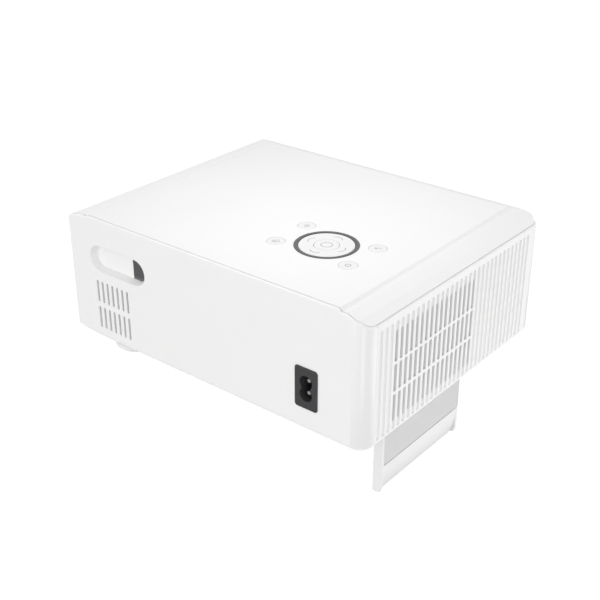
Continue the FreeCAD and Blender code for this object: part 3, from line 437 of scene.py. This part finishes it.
# ---------------------------------------------------------------- filter screen
def weave_screen():
    """Crossing nylon threads over the outer face of the dust filter, each an arched bar."""
    low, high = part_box("filter_mesh")
    pitch, half, proud = 0.9 * MM, 0.13 * MM, 0.06 * MM
    build = bmesh.new()
    face = low.x

    def bar(start, end, across, lift):
        """One thread: two faces that meet along a raised middle line."""
        rows = []
        for side, height in ((-1, 0.0), (0, lift), (1, 0.0)):
            shift = across * side * half + Vector((-height, 0, 0))
            rows.append([build.verts.new(start + shift), build.verts.new(end + shift)])
        for first, second in zip(rows[:-1], rows[1:]):
            build.faces.new((*first, *reversed(second)))

    count_y, count_z = int((high.y - low.y) / pitch), int((high.z - low.z) / pitch)
    for step in range(1, count_y):
        y = low.y + step * (high.y - low.y) / count_y
        bar(Vector((face, y, low.z + half)), Vector((face, y, high.z - half)), Vector((0, 1, 0)), proud)
    for step in range(1, count_z):
        z = low.z + step * (high.z - low.z) / count_z
        bar(Vector((face, low.y + half, z)), Vector((face, high.y - half, z)), Vector((0, 0, 1)), proud * 0.8)
    add_piece("filter_threads", finish_mesh("filter_threads", build), THREAD_WHITE, "filter")


weave_screen()


# ---------------------------------------------------------------- screens behind the slots, dark grey as painted shade for the inside of the housing
def punched_screen(name, low, high, pitch, hole, across, material, body="root"):
    """A flat sheet with rows of square holes; across is the axis that it faces."""
    low, high = Vector(low), Vector(high)
    first, second = [axis for axis in range(3) if axis != across]
    build = bmesh.new()
    columns = max(1, round((high[first] - low[first]) / pitch))
    rows = max(1, round((high[second] - low[second]) / pitch))
    wide, tall = (high[first] - low[first]) / columns, (high[second] - low[second]) / rows
    corners = {}

    def vert(u, v):
        key = (round(u * 1e7), round(v * 1e7))
        if key not in corners:
            spot = [0.0, 0.0, 0.0]
            spot[across], spot[first], spot[second] = low[across], u, v
            corners[key] = build.verts.new(spot)
        return corners[key]

    for column in range(columns):
        for row in range(rows):
            u, v = low[first] + column * wide, low[second] + row * tall
            outer = [(u, v), (u + wide, v), (u + wide, v + tall), (u, v + tall)]
            middle_u, middle_v = u + wide / 2, v + tall / 2
            ring = [(middle_u + hole * du, middle_v + hole * dv)
                    for du, dv in ((-1, -1), (1, -1), (1, 1), (-1, 1))]
            for at in range(4):
                build.faces.new((vert(*outer[at]), vert(*outer[(at + 1) % 4]),
                                 vert(*ring[(at + 1) % 4]), vert(*ring[at])))
    sheet = add_piece(name, finish_mesh(name, build), material, body)
    thick = sheet.modifiers.new("thick", "SOLIDIFY")
    thick.thickness = high[across] - low[across]
    thick.offset = 1.0
    return sheet


guide_low, guide_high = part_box("filter_guide")
SCREEN_X = guide_high.x + 0.4 * MM
punched_screen("vent_screen", (SCREEN_X, guide_low.y + 2 * MM, 4 * MM),
               (SCREEN_X + 0.3 * MM, guide_high.y - 2 * MM, 73 * MM), 2.6 * MM, 0.75 * MM, 0,
               HOUSING_SHADE_GREY)
speaker_low, speaker_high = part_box("speaker_frame")
SPEAKER_FACE = speaker_high.y
punched_screen("speaker_screen", (speaker_low.x + 1 * MM, SPEAKER_FACE + 0.1 * MM, speaker_low.z + 1 * MM),
               (speaker_high.x - 1 * MM, SPEAKER_FACE + 0.35 * MM, speaker_high.z - 1 * MM),
               1.2 * MM, 0.3 * MM, 1, HOUSING_SHADE_GREY)


# ---------------------------------------------------------------- sockets
def fit_tongues():
    """Plastic tongues with contact strips inside the rectangular sockets, and collars round the jacks."""
    hdmi_low, hdmi_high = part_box("hdmi_sockets")
    usb_low, usb_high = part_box("usb_sockets")
    for label, low, high, wide, thick, contacts in (("hdmi", hdmi_low, hdmi_high, 10.6 * MM, 0.5 * MM, 9),
                                                    ("usb", usb_low, usb_high, 11.0 * MM, 0.9 * MM, 4)):
        tongue, strips = bmesh.new(), bmesh.new()
        level = (low.z + high.z) / 2
        half_long = (14.6 if label == "hdmi" else 13.2) * MM / 2
        for y in (low.y + half_long, high.y - half_long):
            add_bar(tongue, (low.x + 0.6 * MM, y - wide / 2, level - thick),
                    (high.x - 1.2 * MM, y + wide / 2, level + thick), 0.2 * MM)
            for step in range(contacts):
                place = y + (step - (contacts - 1) / 2) * wide / (contacts + 1)
                add_bar(strips, (low.x + 2 * MM, place - 0.25 * MM, level - thick - 0.08 * MM),
                        (high.x - 1.8 * MM, place + 0.25 * MM, level - thick + 0.02 * MM), 0.02 * MM)
        add_piece(label + "_tongues", finish_mesh(label + "_tongues", tongue), MATERIALS["black_plastic"])
        add_piece(label + "_contacts", finish_mesh(label + "_contacts", strips), MATERIALS["insert_brass"])
    jack_low, jack_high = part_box("audio_jacks")
    collars = bmesh.new()
    for y in (jack_low.y + 4 * MM, jack_high.y - 4 * MM):
        add_ring(collars, (jack_high.x, y, (jack_low.z + jack_high.z) / 2), (1, 0, 0),
                 [(2.2 * MM, -1.2 * MM), (3.2 * MM, -0.2 * MM), (3.2 * MM, 0.15 * MM), (2.5 * MM, 0.3 * MM),
                  (2.0 * MM, 0.05 * MM), (2.0 * MM, -1.2 * MM)])
    add_piece("jack_collars", finish_mesh("jack_collars", collars, True), MATERIALS["bright_steel"])


fit_tongues()


# ---------------------------------------------------------------- lens
def dress_lens():
    """Three baffle rings in the barrel, in front of the glass."""
    glass_low, glass_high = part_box("front_element")
    barrel_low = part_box("lens_barrel")[0]
    middle = centre("front_element")
    radius = (glass_high.x - glass_low.x) / 2
    room = glass_low.y - barrel_low.y
    beads = bmesh.new()
    for step in range(3):
        along = glass_low.y - room * (0.25 + 0.25 * step)
        add_ring(beads, (middle.x, along, middle.z), (0, -1, 0),
                 round_profile(radius + 0.1 * MM, 0.28 * MM), 72)
    add_piece("lens_baffles", finish_mesh("lens_baffles", beads, True), MATERIALS["black_plastic"],
              "lens")


dress_lens()


# ---------------------------------------------------------------- underside
TURN_STEPS = 36


def thread_insert():
    """The thread of the tripod insert, as one helical ridge."""
    low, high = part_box("tripod_insert")
    radius, depth, pitch = 3.175 * MM, 0.35 * MM, 1.27 * MM
    turns = (high.z - low.z - 1.2 * MM) / pitch
    steps = int(turns * TURN_STEPS)
    flank = ((radius + 0.1 * MM, -0.4), (radius - depth, 0.0), (radius + 0.1 * MM, 0.4))
    build = bmesh.new()
    rings = []
    for step in range(steps + 1):
        angle = 2 * math.pi * step / TURN_STEPS
        level = low.z + 0.5 * MM + pitch * step / TURN_STEPS
        rings.append([build.verts.new((reach * math.cos(angle), reach * math.sin(angle), level + rise * pitch))
                      for reach, rise in flank])
    for here, there in zip(rings[:-1], rings[1:]):
        for at in range(2):
            build.faces.new((here[at], here[at + 1], there[at + 1], there[at]))
    add_piece("insert_thread", finish_mesh("insert_thread", build), MATERIALS["insert_brass"])


def rating_plate():
    """A blank label on the underside with generic bars in place of print."""
    build, bars = bmesh.new(), bmesh.new()
    low, high = Vector((-32 * MM, 24 * MM, -0.12 * MM)), Vector((34 * MM, 62 * MM, 0.05 * MM))
    add_bar(build, low, high, 0.05 * MM)
    for step in range(5):
        y = low.y + (6 + 5.5 * step) * MM
        add_bar(bars, (low.x + 5 * MM, y, low.z - 0.04 * MM),
                (high.x - (8 + 9 * (step % 3)) * MM, y + 1.4 * MM, low.z + 0.02 * MM))
    add_piece("rating_plate", finish_mesh("rating_plate", build), LABEL_SILVER)
    add_piece("rating_bars", finish_mesh("rating_bars", bars), PRINT_GREY)


thread_insert()
rating_plate()


# ---------------------------------------------------------------- boards
def fit_chips():
    """Flat chips with legs along two sides, on the inner face of the upright main board."""
    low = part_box("main_board")[0]
    build = bmesh.new()
    for along, up, size in ((14, 22, 14), (50, 32, 10), (92, 18, 9)):
        corner = low + Vector((-1.2, along, up)) * MM
        add_bar(build, corner, corner + Vector((1.2, size, size)) * MM, 0.25 * MM)
        for step in range(int(size / 1.5)):
            for side in (-0.8, size):
                leg = corner + Vector((0.9, side, 0.4 + 1.5 * step)) * MM
                add_bar(build, leg, leg + Vector((0.3, 0.8, 0.5)) * MM)
    add_piece("main_chips", finish_mesh("main_chips", build), MATERIALS["black_plastic"])


fit_chips()


# ---------------------------------------------------------------- studio
# How bright the sky is from straight down (0) through the horizon (0.5) to straight up (1).
SKY = [(0.0, 0.30), (0.46, 0.38), (0.49, 0.95), (0.56, 1.0), (0.72, 0.80), (1.0, 0.76)]
FLOOR_HALF = 20.0
FLOOR_GAP = 0.3 * MM


def build_studio():
    """A plain pale floor just under the part, and soft light from all round."""
    level = cad_box[0].z - FLOOR_GAP
    floor_mesh = bpy.data.meshes.new("floor")
    corners = [(x * FLOOR_HALF, y * FLOOR_HALF, level) for x, y in ((-1, -1), (1, -1), (1, 1), (-1, 1))]
    floor_mesh.from_pydata(corners, [], [(0, 1, 2, 3)])
    floor = bpy.data.objects.new("floor", floor_mesh)
    bpy.context.collection.objects.link(floor)
    material, tree, shader, place = new_material("white_sweep")
    tone = ramp(tree, noise(tree, place, 0.5), [(0.0, (0.10, 0.10, 0.10)), (1.0, (0.12, 0.12, 0.12))])
    tree.links.new(tone, shader.inputs["Base Color"])
    shader.inputs["Roughness"].default_value = 0.9
    shader.inputs["Specular IOR Level"].default_value = 0.0
    shader.inputs["Emission Color"].default_value = (1, 1, 1, 1)
    shader.inputs["Emission Strength"].default_value = 0.96
    under = tree.nodes.new("ShaderNodeBsdfTransparent")
    pick = tree.nodes.new("ShaderNodeMixShader")
    tree.links.new(tree.nodes.new("ShaderNodeNewGeometry").outputs["Backfacing"], pick.inputs["Fac"])
    tree.links.new(shader.outputs["BSDF"], pick.inputs[1])
    tree.links.new(under.outputs["BSDF"], pick.inputs[2])
    tree.links.new(pick.outputs["Shader"], tree.nodes["Material Output"].inputs["Surface"])
    floor_mesh.materials.append(material)
    floor.visible_diffuse = False
    floor.visible_glossy = False
    floor.visible_shadow = False

    world = bpy.data.worlds.new("studio")
    bpy.context.scene.world = world
    world.use_nodes = True
    tree = world.node_tree
    background = tree.nodes["Background"]
    split = tree.nodes.new("ShaderNodeSeparateXYZ")
    coordinates = tree.nodes.new("ShaderNodeTexCoord")
    tree.links.new(coordinates.outputs["Generated"], split.inputs["Vector"])
    height = spread(tree, split.outputs["Z"], 0.0, 1.0, start=-1.0)
    sky = ramp(tree, height, [(position, (grey,) * 3) for position, grey in SKY])
    tree.links.new(sky, background.inputs["Color"])
    background.inputs["Strength"].default_value = 1.0


def add_panel(name, place, target, size, watts, seen=True):
    """A soft light panel that faces the target."""
    light = bpy.data.lights.new(name, "AREA")
    light.shape = "RECTANGLE"
    light.size, light.size_y = size
    light.energy = watts
    lamp = bpy.data.objects.new(name, light)
    lamp.location = place
    lamp.rotation_mode = "QUATERNION"
    lamp.rotation_quaternion = (Vector(target) - Vector(place)).to_track_quat("-Z", "Y")
    lamp.visible_glossy = seen
    bpy.context.collection.objects.link(lamp)


def add_camera():
    """The long-lens view from behind the vent side."""
    azimuth, elevation = math.radians(219.0), math.radians(27.4)
    back = Vector((math.sin(azimuth) * math.cos(elevation), -math.cos(azimuth) * math.cos(elevation),
                   math.sin(elevation)))
    lens = bpy.data.cameras.new("view")
    lens.sensor_width = 36.0
    lens.lens = 64.3
    lens.clip_start, lens.clip_end = 0.01, 30.0
    camera = bpy.data.objects.new("view", lens)
    camera.location = (-0.4279, 0.5336, 0.3752)
    camera.rotation_mode = "QUATERNION"
    camera.rotation_quaternion = (-back).to_track_quat("-Z", "Y")
    bpy.context.collection.objects.link(camera)
    bpy.context.scene.camera = camera


build_studio()
PART_MIDDLE = (0, 0, 0.04)
TALL_PANEL = (1.2, 1.2)
add_panel("rear_panel", (0.60, 1.48, 0.08), PART_MIDDLE, TALL_PANEL, 8.5)
add_panel("side_panel", (-1.10, -0.92, -0.35), PART_MIDDLE, TALL_PANEL, 9.0)
add_panel("corner_strip", (-0.76, 0.68, -0.40), PART_MIDDLE, (0.2, 0.8), 2.5)
add_panel("top_panel", (-0.03, 0.03, 0.34), (-0.03, 0.03, 0), (0.15, 0.15), 0.23, seen=False)
vent_glow = Vector((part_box("side_grille")[0].x + 3.2 * MM, 0.028, 0.038))
add_panel("vent_glow", vent_glow, (0.0, vent_glow.y, vent_glow.z), (0.086, 0.070), 0.002, seen=False)
add_camera()
bpy.context.scene.view_settings.view_transform = "Standard"
